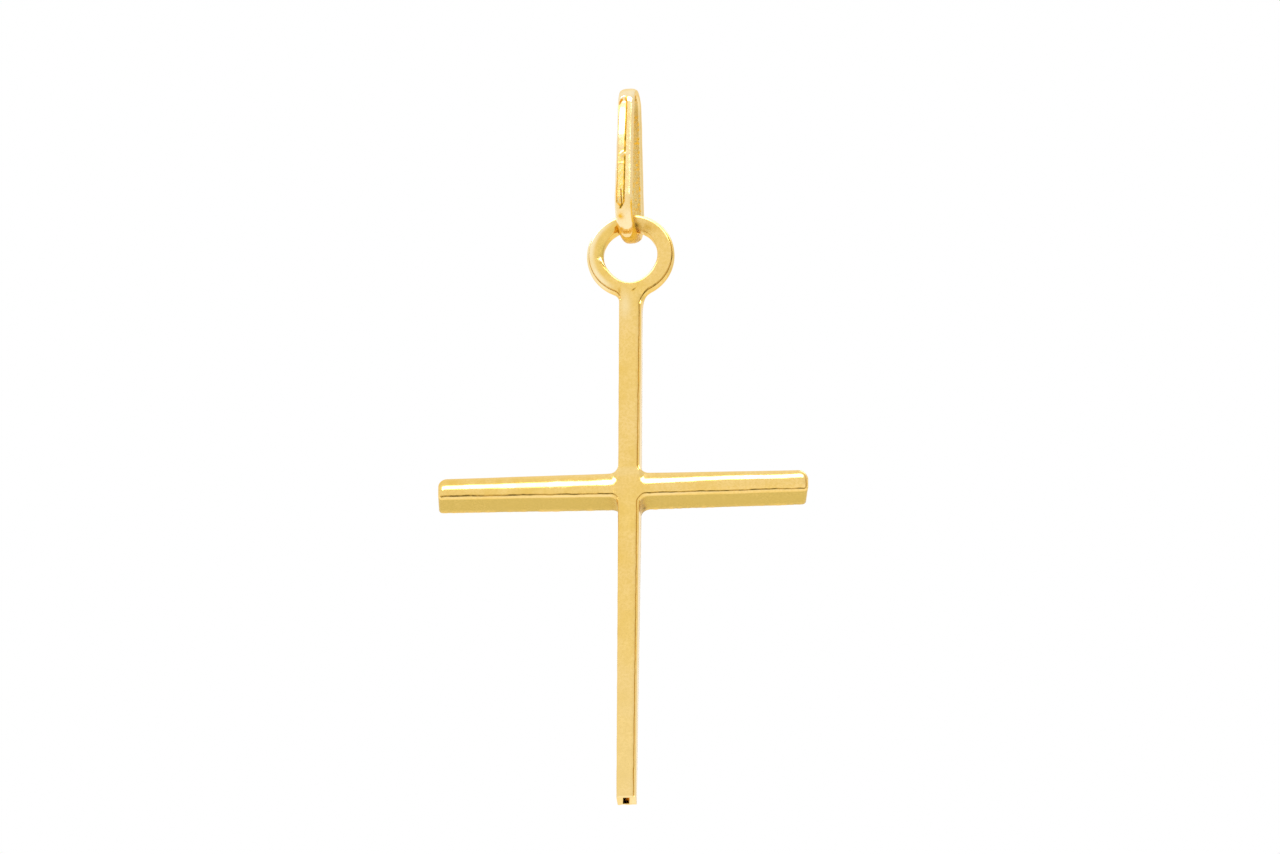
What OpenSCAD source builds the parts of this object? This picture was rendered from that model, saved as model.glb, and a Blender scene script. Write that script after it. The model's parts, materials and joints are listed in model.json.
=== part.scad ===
// A slim gold cross pendant that hangs from a narrow loop bail.
// Z is up and the domed front faces -Y. The origin is the chain seat, which
// is the inside of the bail's top bend, and everything hangs below it.

/* [Arms] */
// Span of the two arms from tip to tip
arm_span = 15.9; // [12:0.1:24]
// Offset of the arms' middle from the post's middle, towards +X
arm_shift = -0.31; // [-0.35:0.01:0.35]
// Height of an arm where it leaves the post
arm_root_w = 1.12; // [0.9:0.01:1.3]
// Height of an arm where its rounded tip begins
arm_tip_w = 0.98; // [0.8:0.01:1.3]
// Radius of the two corners of each tip
tip_r = 0.28; // [0.15:0.01:0.35]
// Depth of the arms, and of the post where they cross, from front to back
cross_depth = 1.78; // [1.1:0.01:2.2]

/* [Post] */
// Height of the eye's centre above the arms' centre line
post_rise = 10.75; // [7:0.05:16]
// Length of the post below the arms' centre line
post_drop = 14.6; // [9:0.1:22]
// Width of the post just below the eye
post_top_w = 0.98; // [0.85:0.01:1.2]
// Width of the post at its foot
post_foot_w = 0.84; // [0.75:0.01:1.2]
// Depth of the post just below the eye
neck_depth = 0.94; // [0.8:0.01:1.1]
// Depth of the post at its foot
foot_depth = 0.98; // [0.85:0.01:1.6]

/* [Domed front] */
// Height of the dome at the middle of a bar, above the ledge
dome_h = 0.22; // [0.19:0.01:0.3]
// Height of the dome's upright rim, above the ledge
rim_h = 0.12; // [0.04:0.01:0.16]
// Width of the narrow ledge between the dome and the side wall
ledge_w = 0.09; // [0.05:0.01:0.11]
// Radius of the four fillets in the corners of the crossing
corner_r = 0.36; // [0.2:0.01:0.6]
// Height of the low pads that fill those corners, above the ledge
corner_pad_h = 0.16; // [0.06:0.01:0.18]

/* [Eye ring] */
// Outer diameter of the eye ring
eye_d = 3.79; // [3.4:0.01:4.6]
// Diameter of the eye ring's wire
eye_wire_d = 0.73; // [0.6:0.01:0.9]
// Radius of the fillets between the eye ring and the post
neck_r = 0.4; // [0.2:0.01:0.6]
// Thickness of those fillets from front to back
neck_web_t = 0.5; // [0.3:0.01:0.58]

/* [Foot slot] */
// Width of the small slot in the foot's end
slot_w = 0.3; // [0.15:0.01:0.4]
// Length of the slot from front to back
slot_len = 0.66; // [0.3:0.01:0.7]
// How far the slot goes up into the foot
slot_h = 0.5; // [0.2:0.05:1]

/* [Bail] */
// Outer height of the bail's loop
bail_h = 7; // [6.5:0.01:10]
// Outer radius of the loop's wide lower bend
bail_low_r = 1.5; // [1.3:0.01:2]
// Outer radius of the loop's narrow upper bend
bail_top_r = 1; // [0.8:0.01:1.4]
// Thickness of the strip that the loop is bent from
strip_t = 0.34; // [0.3:0.01:0.45]
// Width of the strip at the lower bend
strip_low_w = 0.74; // [0.6:0.01:0.9]
// Width of the strip at the upper bend
strip_top_w = 0.68; // [0.45:0.01:0.9]
// Turn of the bail about the vertical, as it settled on the eye ring
bail_turn = -6.3; // [-10:0.1:10]
// Offset of the cross from the bail's middle, towards +X
cross_shift = 0.08; // [-0.1:0.01:0.1]
// Gap between the lower bend and the eye ring at the middle of the strip
hang_gap = 0.1; // [0.09:0.01:0.15]

/* [Bail groove] */
// Length of the pointed groove cut down the bail's front
groove_len = 3.6; // [2:0.1:4]
// Width of the groove
groove_w = 0.38; // [0.2:0.01:0.45]
// Depth of the groove
groove_d = 0.1; // [0.06:0.01:0.12]
// Offset of the groove from the strip's middle towards -X
groove_shift = 0.09; // [0:0.01:0.1]
// How far the groove's point runs down onto the lower bend
groove_drop = 0.4; // [0:0.05:0.4]

/* [Hidden] */
$fn = 64;
// Overlap that lets joined solids share volume, and cutters pass a face
joint_lap = 0.05;
// How far a fillet's corner is sunk, so that its ends lie inside the bars
fillet_sink = 0.001;

// The eye ring and the height of what hangs on it
eye_mean_r = (eye_d - eye_wire_d) / 2;
bail_bottom_z = strip_t - bail_h;
hinge_z = bail_bottom_z + strip_t + hang_gap + eye_wire_d / 2;

// Depths, measured from the plane through the middle of the eye ring's wire
front_y = -eye_wire_d / 2;
ledge_y = front_y + dome_h;
neck_back_y = front_y + neck_depth;
cross_back_y = front_y + cross_depth;
foot_back_y = front_y + foot_depth;

// Heights, measured from the eye ring's centre
arm_z = -post_rise;
foot_z = arm_z - post_drop;
neck_z = -eye_mean_r;

// The post's width at a height z
function post_w(z) = post_top_w
    + (post_foot_w - post_top_w) * (neck_z - z) / (neck_z - foot_z);

// Half of an arm's height at a distance x from the arms' middle
arm_run = arm_span / 2 - tip_r;
function arm_half(x) = (arm_root_w + (arm_tip_w - arm_root_w) * x / arm_run) / 2;

// Blocks that stand for the arms, the two lengths of the post and the eye
// ring give the lean at which the cross hangs still from its eye
rise_len = neck_z - arm_z;
arm_vol = arm_span * (arm_root_w + arm_tip_w) / 2 * cross_depth;
rise_vol = rise_len * (post_w(neck_z) + post_w(arm_z)) / 2 * (neck_depth + cross_depth) / 2;
drop_vol = post_drop * (post_w(arm_z) + post_w(foot_z)) / 2 * (cross_depth + foot_depth) / 2;
eye_vol = 2 * PI * eye_mean_r * PI * pow(eye_wire_d / 2, 2);
cross_vol = arm_vol + rise_vol + drop_vol + eye_vol;
block_front_y = front_y + dome_h / 3;
mass_y = (arm_vol * (block_front_y + cross_back_y) / 2
    + rise_vol * (block_front_y + (neck_back_y + cross_back_y) / 2) / 2
    + drop_vol * (block_front_y + (foot_back_y + cross_back_y) / 2) / 2) / cross_vol;
mass_z = (arm_vol * arm_z + rise_vol * (neck_z + arm_z) / 2
    + drop_vol * (arm_z + foot_z) / 2) / cross_vol;
hang_lean = atan(mass_y / (eye_mean_r - mass_z));

// The bail's two bends and the straight strands that touch both
bail_low_z = bail_bottom_z + bail_low_r;
bail_top_z = strip_t - bail_top_r;
strand_angle = asin((bail_low_r - bail_top_r) / (bail_top_z - bail_low_z));

function unit(v) = v / norm(v);

// Draws its 2D children, given as [X, Z], as a slab from y0 to y1
module slab_y(y0, y1) {
    translate([0, y1, 0])
        rotate([90, 0, 0])
            linear_extrude(height = y1 - y0)
                children();
}

// Draws its 2D children, given as [Y, Z], as a bar of width w along X
module slab_x(w) {
    rotate([90, 0, 90])
        linear_extrude(height = w, center = true)
            children();
}

// The fillet of radius r between two edges that leave a corner in the
// directions u and v
module corner_fillet(corner, u, v, r) {
    p = corner - unit(u + v) * fillet_sink;
    half = acos(u * v) / 2;
    middle = p + unit(u + v) * r / sin(half);
    run = r / tan(half);
    difference() {
        polygon([p - unit(u + v) * joint_lap, p + u * run, middle, p + v * run]);
        translate(middle)
            circle(r = r);
    }
}

// Both arms with their rounded tips, drawn smaller by inset all round
module arm_outline(inset) {
    root = arm_root_w / 2 - inset;
    tip = arm_tip_w / 2 - inset;
    r = tip_r - inset;
    translate([arm_shift, arm_z]) {
        polygon([
            [-arm_run, -tip], [0, -root], [arm_run, -tip],
            [arm_run, tip], [0, root], [-arm_run, tip]
        ]);
        square([arm_span - 2 * inset, 2 * (tip - r)], center = true);
        for (x = [-arm_run, arm_run], z = [r - tip, tip - r])
            translate([x, z])
                circle(r = r);
    }
}

// The four fillets where the arms leave the post
module crossing_fillets(inset) {
    post_slope = (post_w(1) - post_w(0)) / 2;
    arm_slope = arm_half(1) - arm_half(0);
    for (side = [-1, 1], way = [-1, 1]) {
        // The arm's edge is carried on to the post's middle to find the corner
        edge_z = arm_z + side * (arm_half(-way * arm_shift) - inset);
        x = (post_w(edge_z) / 2 - inset) / (1 - side * post_slope * arm_slope);
        corner = [x, edge_z + side * arm_slope * x];
        mirror([way < 0 ? 1 : 0, 0])
            corner_fillet(corner, unit([1, side * arm_slope]),
                unit([side * post_slope, side]), corner_r + inset);
    }
}

// The post without its eye ring
module post_outline(inset) {
    top = post_w(neck_z) / 2 - inset;
    foot = post_w(foot_z) / 2 - inset;
    polygon([[-foot, foot_z], [foot, foot_z], [top, neck_z], [-top, neck_z]]);
}

module cross_outline(inset) {
    post_outline(inset);
    arm_outline(inset);
    crossing_fillets(inset);
}

// The side view of the bars behind the ledge: deepest where they cross
module side_profile() {
    band = arm_root_w / 2 + corner_r;
    polygon([
        [ledge_y, foot_z], [foot_back_y, foot_z],
        [cross_back_y, arm_z - band], [cross_back_y, arm_z + band],
        [neck_back_y, neck_z], [ledge_y, neck_z]
    ]);
}

// The bars from the ledge back: straight side walls and a flat back
module bars() {
    intersection() {
        slab_y(ledge_y, cross_back_y)
            cross_outline(0);
        slab_x(arm_span + 2 * abs(arm_shift))
            side_profile();
    }
}

// The section of a dome over a bar of width w, with its top at front_y
module dome_section(w) {
    rise = dome_h - rim_h;
    half = w / 2 - ledge_w;
    r = (half * half + rise * rise) / (2 * rise);
    intersection() {
        translate([0, r])
            circle(r = r);
        translate([-half, 0])
            square([2 * half, dome_h + joint_lap]);
    }
}

// The dome along the arms, rounded back at both tips
module arm_dome() {
    run = arm_span / 2 - ledge_w;
    intersection() {
        translate([arm_shift, front_y, arm_z])
            rotate([90, 0, 90])
                linear_extrude(height = arm_span, center = true)
                    rotate(-90)
                        dome_section(max(arm_root_w, arm_tip_w));
        translate([arm_shift, front_y, arm_z])
            linear_extrude(height = arm_root_w, center = true) {
                translate([dome_h - run, 0])
                    square([2 * (run - dome_h), dome_h]);
                translate([-run, dome_h])
                    square([2 * run, joint_lap]);
                for (side = [-1, 1])
                    translate([side * (run - dome_h), dome_h])
                        circle(r = dome_h);
            }
    }
}

module post_dome() {
    translate([0, front_y, foot_z])
        linear_extrude(height = neck_z - foot_z)
            dome_section(max(post_top_w, post_foot_w));
}

// The low pads that carry the domed front round the corners
module corner_pads() {
    reach = arm_root_w / 2 + corner_r;
    translate([0, 0, arm_z])
        slab_y(ledge_y - corner_pad_h, ledge_y + joint_lap)
            square(2 * reach, center = true);
}

module domed_front() {
    intersection() {
        slab_y(front_y, ledge_y + joint_lap)
            cross_outline(ledge_w);
        union() {
            arm_dome();
            post_dome();
            corner_pads();
        }
    }
}

module eye_ring() {
    rotate([90, 0, 0])
        rotate_extrude()
            translate([eye_mean_r, 0])
                circle(d = eye_wire_d);
}

// The fillets that lead the eye ring's outer edge into the post's sides
module neck_fillets() {
    x = post_top_w / 2 + neck_r;
    z = -sqrt(pow(eye_d / 2 + neck_r, 2) - x * x);
    touch = unit([x, z]) * (eye_d / 2 - joint_lap);
    for (side = [0, 1])
        mirror([side, 0, 0])
            slab_y(-neck_web_t / 2, neck_web_t / 2)
                difference() {
                    polygon([[0, neck_z], touch, [x, z], [0, z]]);
                    translate([x, z])
                        circle(r = neck_r);
                }
}

module foot_slot() {
    translate([-slot_w / 2, front_y + (foot_depth - slot_len) / 2, foot_z - joint_lap])
        cube([slot_w, slot_len, slot_h + joint_lap]);
}

module cross() {
    color("goldenrod")
        translate([cross_shift, 0, hinge_z])
            rotate([-hang_lean, 0, 0])
                translate([0, 0, -eye_mean_r])
                    difference() {
                        union() {
                            bars();
                            domed_front();
                            eye_ring();
                            neck_fillets();
                        }
                        foot_slot();
                    }
}

// The side view of the bail, drawn smaller by inset all round
module bail_profile(inset) {
    low = bail_low_r - inset;
    top = bail_top_r - inset;
    c = cos(strand_angle);
    s = sin(strand_angle);
    translate([0, bail_low_z])
        circle(r = low);
    translate([0, bail_top_z])
        circle(r = top);
    polygon([
        [low * c, bail_low_z + low * s], [top * c, bail_top_z + top * s],
        [-top * c, bail_top_z + top * s], [-low * c, bail_low_z + low * s]
    ]);
}

// The strip's outline seen from the front, a little narrower at the top
module strip_outline() {
    low = strip_low_w / 2;
    top = strip_top_w / 2;
    polygon([
        [-low, bail_bottom_z - joint_lap], [low, bail_bottom_z - joint_lap],
        [low, bail_low_z], [top, strip_t + joint_lap],
        [-top, strip_t + joint_lap], [-low, bail_low_z]
    ]);
}

// The pointed V groove, laid along the front strand
module strand_groove() {
    point_z = -groove_drop;
    top_z = point_z + groove_len;
    translate([-groove_shift, 0, bail_low_z])
        rotate([-strand_angle, 0, 0])
            translate([0, -bail_low_r, 0])
                intersection() {
                    translate([0, 0, point_z])
                        linear_extrude(height = groove_len)
                            polygon([[-groove_w / 2, 0], [-groove_w / 2, -groove_d],
                                [groove_w / 2, -groove_d], [groove_w / 2, 0], [0, groove_d]]);
                    slab_y(-2 * groove_d, 2 * groove_d)
                        polygon([[0, point_z], [groove_w / 2, point_z + groove_w],
                            [groove_w / 2, top_z], [-groove_w / 2, top_z],
                            [-groove_w / 2, point_z + groove_w]]);
                }
}

module bail() {
    color("gold")
        rotate([0, 0, bail_turn])
            difference() {
                intersection() {
                    slab_x(strip_low_w)
                        difference() {
                            bail_profile(0);
                            bail_profile(strip_t);
                        }
                    slab_y(-bail_low_r, bail_low_r)
                        strip_outline();
                }
                strand_groove();
            }
}

bail();
cross();
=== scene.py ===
import json
import math
import bpy
import numpy as np
from mathutils import Matrix, Vector
from mathutils.geometry import delaunay_2d_cdt


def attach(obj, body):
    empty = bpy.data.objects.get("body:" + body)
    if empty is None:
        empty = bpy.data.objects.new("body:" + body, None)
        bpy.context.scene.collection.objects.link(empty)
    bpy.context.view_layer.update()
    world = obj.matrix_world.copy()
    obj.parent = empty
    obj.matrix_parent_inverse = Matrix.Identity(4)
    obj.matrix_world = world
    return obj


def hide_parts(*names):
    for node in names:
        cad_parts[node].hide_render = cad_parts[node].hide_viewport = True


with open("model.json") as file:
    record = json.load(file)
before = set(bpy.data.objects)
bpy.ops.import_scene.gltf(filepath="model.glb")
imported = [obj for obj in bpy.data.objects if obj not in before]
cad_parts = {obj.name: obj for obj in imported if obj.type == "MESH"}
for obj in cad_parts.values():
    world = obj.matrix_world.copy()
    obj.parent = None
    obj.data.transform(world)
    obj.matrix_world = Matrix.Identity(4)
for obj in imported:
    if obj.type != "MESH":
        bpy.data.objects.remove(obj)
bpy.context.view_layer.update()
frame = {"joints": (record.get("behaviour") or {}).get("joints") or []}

# Lengths are in millimetres until a mesh is made, and in metres for the stage
MM = 0.001

# The cross, measured from the eye ring's centre: X along the arms, Z up, front at -Y
ARM_SPAN = 16.05
ARM_SHIFT = -0.235
ARM_ROOT_W = 1.12
ARM_TIP_W = 0.98
ARM_STRAIGHT = 7.67
ARM_Z = -10.72
FOOT_Z = -25.4
NECK_Z = -1.53
POST_TOP_W = 0.98
POST_FOOT_W = 0.84
FRONT_Y = -0.365
LEDGE_Y = -0.145
NECK_BACK_Y = 0.575
CROSS_BACK_Y = 1.415
FOOT_BACK_Y = 0.615
POST_CROWN = 0.045
LEDGE_W = 0.09
CROSSING_R = 0.36
HANG_LEAN = math.radians(1.93)
CROSS_SHIFT = 0.08

# The eye ring
RING_R = 1.53
WIRE_R = 0.365
RING_OUT = RING_R + WIRE_R
RING_IN = RING_R - WIRE_R
NECK_R_LEFT, NECK_R_RIGHT = 0.4, 0.85
RING_LEDGE_Y = -0.19

# The bail, measured from the chain seat
STRIP_T = 0.34
STRIP_LOW_W = 0.74
STRIP_TOP_W = 0.68
BEND_LOW_R = 1.5
BEND_TOP_R = 1.0
BEND_LOW_Z = -5.16
BEND_TOP_Z = -0.66
BAIL_TURN = math.radians(-6.3)

# The photograph's view: parallel rays, from below and a little from the right
VIEW_AZIMUTH = 4.8
VIEW_ELEVATION = -20.7
VIEW_ROLL = 0.32
MM_PER_PIXEL = 0.0432
IMAGE_W, IMAGE_H = 1280, 854
EYE_PIXEL = (630.9, 256.9)


def smooth(x, low, high):
    t = np.clip((x - low) / (high - low), 0, 1)
    return t * t * (3 - 2 * t)


def window(x, rise_from, rise_to, fall_from, fall_to):
    """Goes from 0 up to 1 over the first stretch of x and back to 0 over the second."""
    return smooth(x, rise_from, rise_to) * (1 - smooth(x, fall_from, fall_to))


def smooth_min(a, b, k):
    h = np.clip(0.5 + 0.5 * (b - a) / k, 0, 1)
    return b + (a - b) * h - k * h * (1 - h)


def spot(x, z, at, size):
    """A soft round or oval spot, 1 high in its middle."""
    return np.exp(-((x - at[0]) / size[0]) ** 2 - ((z - at[1]) / size[1]) ** 2)


def ripple(a, b, size, seed, waves=9):
    """Smooth irregular waves between about -1 and 1, size millimetres long."""
    rng = np.random.default_rng(seed)
    total = np.zeros(np.broadcast(a, b).shape)
    for _ in range(waves):
        turn = rng.uniform(0, 2 * math.pi)
        k = 2 * math.pi / (size * rng.uniform(0.7, 1.6))
        total += np.sin(k * (a * math.cos(turn) + b * math.sin(turn)) + rng.uniform(0, 2 * math.pi))
    return total / math.sqrt(waves / 2) / 1.5


def post_half(z):
    return (POST_TOP_W + (POST_FOOT_W - POST_TOP_W) * (NECK_Z - z) / (NECK_Z - FOOT_Z)) / 2


def arm_half(x):
    run = np.abs(x - ARM_SHIFT) / ARM_STRAIGHT
    return (ARM_ROOT_W + (ARM_TIP_W - ARM_ROOT_W) * run) / 2


# The outline of the cross is a closed chain of straight edges, walked anticlockwise
# as seen from the front, with a round corner between each edge and the next

def edge(a, b):
    """A straight edge as (point, direction, inward normal)."""
    a, b = np.array(a, float), np.array(b, float)
    u = (b - a) / np.linalg.norm(b - a)
    return a, u, np.array([-u[1], u[0]])


def arc(centre, start, turn, count):
    """count points on the arc from centre + start through the angle turn."""
    t = np.linspace(0, turn, count)
    c, s = np.cos(t), np.sin(t)
    return centre + np.stack([start[0] * c - start[1] * s, start[0] * s + start[1] * c], 1)


# A corner never gets tighter than this as it moves inwards
LEAST_R = 0.012


def round_corner(first, second, r, inset, count):
    """The arc between two edges, both moved inwards by inset."""
    (p, u, n), (q, v, m) = first, second
    a, b = p + n * inset, q + m * inset
    cross = u[0] * v[1] - u[1] * v[0]
    meet = a + u * (((b - a)[0] * v[1] - (b - a)[1] * v[0]) / cross)
    turn = math.atan2(cross, u @ v)
    r = max(r - inset, LEAST_R) if turn > 0 else r + inset
    start = meet - u * r * math.tan(abs(turn) / 2)
    side = n if turn > 0 else -n
    return arc(start + side * r, -side * r, turn, count)


def neck_centre(post_edge, r):
    """Centre of the fillet outside the post's edge that touches the eye ring."""
    p, u, n = post_edge
    a = p - n * r
    along, away = a @ u, a @ a - (RING_OUT + r) ** 2
    roots = [-along - math.sqrt(along * along - away), -along + math.sqrt(along * along - away)]
    return min((a + u * s for s in roots), key=lambda c: c[1])


def signed_angle(a, b):
    return math.atan2(a[0] * b[1] - a[1] * b[0], a @ b)


def eye_arcs(right, left, inset):
    """The right neck fillet, the eye ring's outer edge and the left neck fillet."""
    centres = [neck_centre(right, NECK_R_RIGHT), neck_centre(left, NECK_R_LEFT)]
    to_ring = [-c / np.linalg.norm(c) for c in centres]
    rho_right, rho_left, big = NECK_R_RIGHT + inset, NECK_R_LEFT + inset, RING_OUT - inset
    sweep = signed_angle(-to_ring[0], -to_ring[1]) % (2 * math.pi)
    return np.concatenate([
        arc(centres[0], right[2] * rho_right, signed_angle(right[2], to_ring[0]), 14)[:-1],
        arc(np.zeros(2), -to_ring[0] * big, sweep, 210),
        arc(centres[1], to_ring[1] * rho_left, signed_angle(to_ring[1], left[2]), 14)[1:],
    ])


def outline_edges():
    """The edges in walking order: foot, right of the post, right arm, then the left side."""
    foot, neck = post_half(FOOT_Z), post_half(NECK_Z)
    right = edge((foot, FOOT_Z), (neck, NECK_Z))
    left = edge((-neck, NECK_Z), (-foot, FOOT_Z))

    def arm_edge(side, height):
        """The upper or lower edge of an arm, from the middle outwards."""
        root, tip = height * ARM_ROOT_W / 2, height * ARM_TIP_W / 2
        a = np.array([ARM_SHIFT, ARM_Z + root])
        b = np.array([ARM_SHIFT + side * ARM_STRAIGHT, ARM_Z + tip])
        return edge(a, b) if side * height < 0 else edge(b, a)

    def tip_edge(side):
        x = ARM_SHIFT + side * ARM_SPAN / 2
        half = side * ARM_TIP_W / 2
        return edge((x, ARM_Z - half), (x, ARM_Z + half))

    return [
        edge((-foot, FOOT_Z), (foot, FOOT_Z)), right,
        arm_edge(1, -1), tip_edge(1), arm_edge(1, 1), right,
        left, arm_edge(-1, 1), tip_edge(-1), arm_edge(-1, -1), left,
    ]


# Radius and number of points of the corner that ends each edge, in the same order
CORNERS = [
    (0.03, 4), (CROSSING_R, 16), (0.2, 14), (0.5, 18), (CROSSING_R, 16), None,
    (CROSSING_R, 16), (0.38, 18), (0.16, 14), (CROSSING_R, 16), (0.03, 4),
]
EDGE_STEP = 0.06
SHORT_EDGE, SHORT_EDGE_COUNT = 1, 40


def edge_count(run):
    """How many points lie along a straight edge; the short ones get at least 40."""
    count = round(run / EDGE_STEP)
    return max(SHORT_EDGE_COUNT, count) if run < SHORT_EDGE else count


def corner_arcs(inset):
    edges = outline_edges()
    arcs = []
    for k, corner in enumerate(CORNERS):
        first, second = edges[k], edges[(k + 1) % len(edges)]
        if corner is None:
            arcs.append(eye_arcs(first, second, inset))
        else:
            arcs.append(round_corner(first, second, corner[0], inset, corner[1]))
    return arcs


def outline(inset, counts):
    """All the outline's points at one inset, with counts points along each edge."""
    arcs = corner_arcs(inset)
    parts = []
    for k, points in enumerate(arcs):
        start, end = points[-1], arcs[(k + 1) % len(arcs)][0]
        f = (np.arange(counts[k]) + 1) / (counts[k] + 1)
        parts += [points, start + (end - start) * f[:, None]]
    return np.concatenate(parts)


INSETS = np.linspace(0, 0.3, 31)
base_arcs = corner_arcs(0.0)
edge_runs = [
    np.linalg.norm(base_arcs[(k + 1) % len(base_arcs)][0] - a[-1]) for k, a in enumerate(base_arcs)
]
EDGE_COUNTS = [edge_count(run) for run in edge_runs]
OUTLINES = np.stack([outline(d, EDGE_COUNTS) for d in INSETS])


def outline_at(inset):
    """The outline's points, each moved inwards by its own inset."""
    f = np.clip(inset, 0, INSETS[-1]) / (INSETS[1] - INSETS[0])
    low = np.minimum(f.astype(int), len(INSETS) - 2)
    i = np.arange(OUTLINES.shape[1])
    t = (f - low)[:, None]
    return OUTLINES[low, i] * (1 - t) + OUTLINES[low + 1, i] * t


# A small facet cut across the ring's inner edge on the left, with a dark line beside it
FACET_FROM, FACET_TO = (-1.44, -0.1), (-1.0, -0.72)
FACET_W, FACET_SLOPE, FACET_LINE = 0.11, 0.32, 0.95
# The facet cuts the hole's wall only in front of this depth
FACET_FRONT_Y = -0.2


def facet(x, z):
    """How far a point is on the facet and on its line, from 0 to 1, and the facet's depth."""
    along = np.array(FACET_TO) - np.array(FACET_FROM)
    length = math.hypot(*along)
    u, v = along / length, np.array([-along[1], along[0]]) / length
    dx, dz = x - FACET_FROM[0], z - FACET_FROM[1]
    run, off = dx * u[0] + dz * u[1], dx * v[0] + dz * v[1]
    inside = window(run, 0, 0.08, length - 0.08, length) * (off < 0.4)
    strip = window(off, 0.0, 0.02, FACET_W - 0.02, FACET_W + 0.02)
    line = inside * np.clip(1.2 - np.abs(off + 0.012) / 0.025, 0, 1)
    return inside * strip, line, inside * FACET_SLOPE * np.clip(off, 0, FACET_W + 0.05) + 0.015 * line


# Depth of the front and the back over the whole face

def soft_lower(a, b):
    """Joins two rises above the front plane: it stays 0 where either of them is 0."""
    return a * b / np.sqrt(a * a + b * b + 1e-12)


def arm_tilt(x):
    """How far the arms' fronts are twisted up, in degrees: most at the left end."""
    right = np.maximum(x, 0)
    lifted = 6 * smooth(x, 4.3, 6.8)
    return 10.5 - 0.5 * np.minimum(x, 0) - right - 0.13 * right * right + lifted


# The twist fades in beside the post and ends past the arms' edges
TILT_FADE, TILT_END = (0.42, 0.72), (0.7, 0.9)
RING_SQUARENESS = 6.0

# The post's crown fades out towards the crossing over this distance
CROSSING_FADE = (0.45, 1.8)
# How strongly the front curves back: from EDGE_START inside the bars' edges, above the
# neck, and outside the ring
EDGE_CURVE, NECK_CURVE, RING_CURVE = 1.0, 1.2, 3.0
EDGE_START, NECK_CURVE_Z = 0.04, -1.75
# The arms' ends roll back over the last of their length
END_ROLL, END_ROLL_FROM, END_ROLL_RUN = 0.07, 0.965, 0.035
# Height and length of the front's long and short waves
LONG_WAVE, SHORT_WAVE = (0.003, 2.2), (0.0012, 0.7)


def arm_bend(x):
    """Curvature of the arms' fronts from top to bottom, a little more towards the tips."""
    return 0.87 + 0.33 * smooth(x, 0, 5) + 0.2 * smooth(-x, 4, 7)


def ring_rise(band):
    """Rise of the eye ring's front, flat in the middle and rounded near its edges."""
    band = np.minimum(np.abs(band), 0.98)
    return WIRE_R * (1 - (1 - band ** RING_SQUARENESS) ** (1 / RING_SQUARENESS))


def front_y(x, z):
    """The front: crowned bars that melt into each other and into the eye ring."""
    lift = z - ARM_Z
    near_crossing = 1 - smooth(np.abs(lift), *CROSSING_FADE)
    post = POST_CROWN * (1 - near_crossing) * np.abs(x / (post_half(z) - LEDGE_W)) ** 4
    post = post + EDGE_CURVE * np.maximum(0, np.abs(x) - post_half(z) + EDGE_START) ** 2
    post = post + NECK_CURVE * np.maximum(0, z - NECK_CURVE_Z) ** 2
    arm = 0.5 * arm_bend(x) * lift * lift
    arm = arm + EDGE_CURVE * np.maximum(0, np.abs(lift) - arm_half(x) + EDGE_START) ** 2
    run = np.abs(x - ARM_SHIFT) / (ARM_SPAN / 2 - LEDGE_W)
    arm = arm + END_ROLL * np.maximum(0, run - END_ROLL_FROM) ** 2 / END_ROLL_RUN ** 2
    rho = np.hypot(x, z)
    ring = ring_rise((rho - RING_R) / WIRE_R) + RING_CURVE * np.maximum(0, rho - RING_OUT) ** 2
    y = FRONT_Y + soft_lower(soft_lower(post, arm), ring)
    on_arm = smooth(np.abs(x), *TILT_FADE) * (1 - smooth(np.abs(lift), *TILT_END))
    y = y + np.tan(np.radians(arm_tilt(x))) * lift * on_arm + facet(x, z)[2]
    y = y + LONG_WAVE[0] * ripple(x, z, LONG_WAVE[1], 3)
    return y + SHORT_WAVE[0] * ripple(x, z, SHORT_WAVE[1], 4)


def bar_back_y(z):
    band = ARM_ROOT_W / 2 + CROSSING_R
    low = FOOT_BACK_Y + (CROSS_BACK_Y - FOOT_BACK_Y) * (z - FOOT_Z) / (ARM_Z - band - FOOT_Z)
    high = NECK_BACK_Y + (CROSS_BACK_Y - NECK_BACK_Y) * (NECK_Z - z) / (NECK_Z - ARM_Z - band)
    return smooth_min(smooth_min(low, high, 0.02), CROSS_BACK_Y + 0.01, 0.04)


# The bar's back tapers away at the neck and blends into the ring's round wire
NECK_TAPER, NECK_TAPER_Z, RING_BLEND_Z = 0.75, (-2.1, -1.3), (-3.2, -1.6)


def back_y(x, z):
    bar = bar_back_y(z) - NECK_TAPER * smooth(z, *NECK_TAPER_Z)
    wire = np.sqrt(np.maximum(0, WIRE_R ** 2 - (np.hypot(x, z) - RING_R) ** 2))
    near_ring = smooth(z, *RING_BLEND_Z)
    both = -smooth_min(-bar, -wire, 0.06)
    return bar * (1 - near_ring) + both * near_ring


# Rows of points round the outline, from the back's flat to the front's crown. Each row
# has its inset and depth on the bars and on the ring

# Widths of the ledge besides its full one, and how deep it lies behind the front
FOOT_LEDGE_W = 0.012
RING_LEDGE_W = 0.1
SOFT_LEDGE_W, SOFT_STEP = 0.03, 0.012
FULL_STEP, LEFT_STEP, LEDGE_SLOPE = 0.085, 0.06, 0.06


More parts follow.
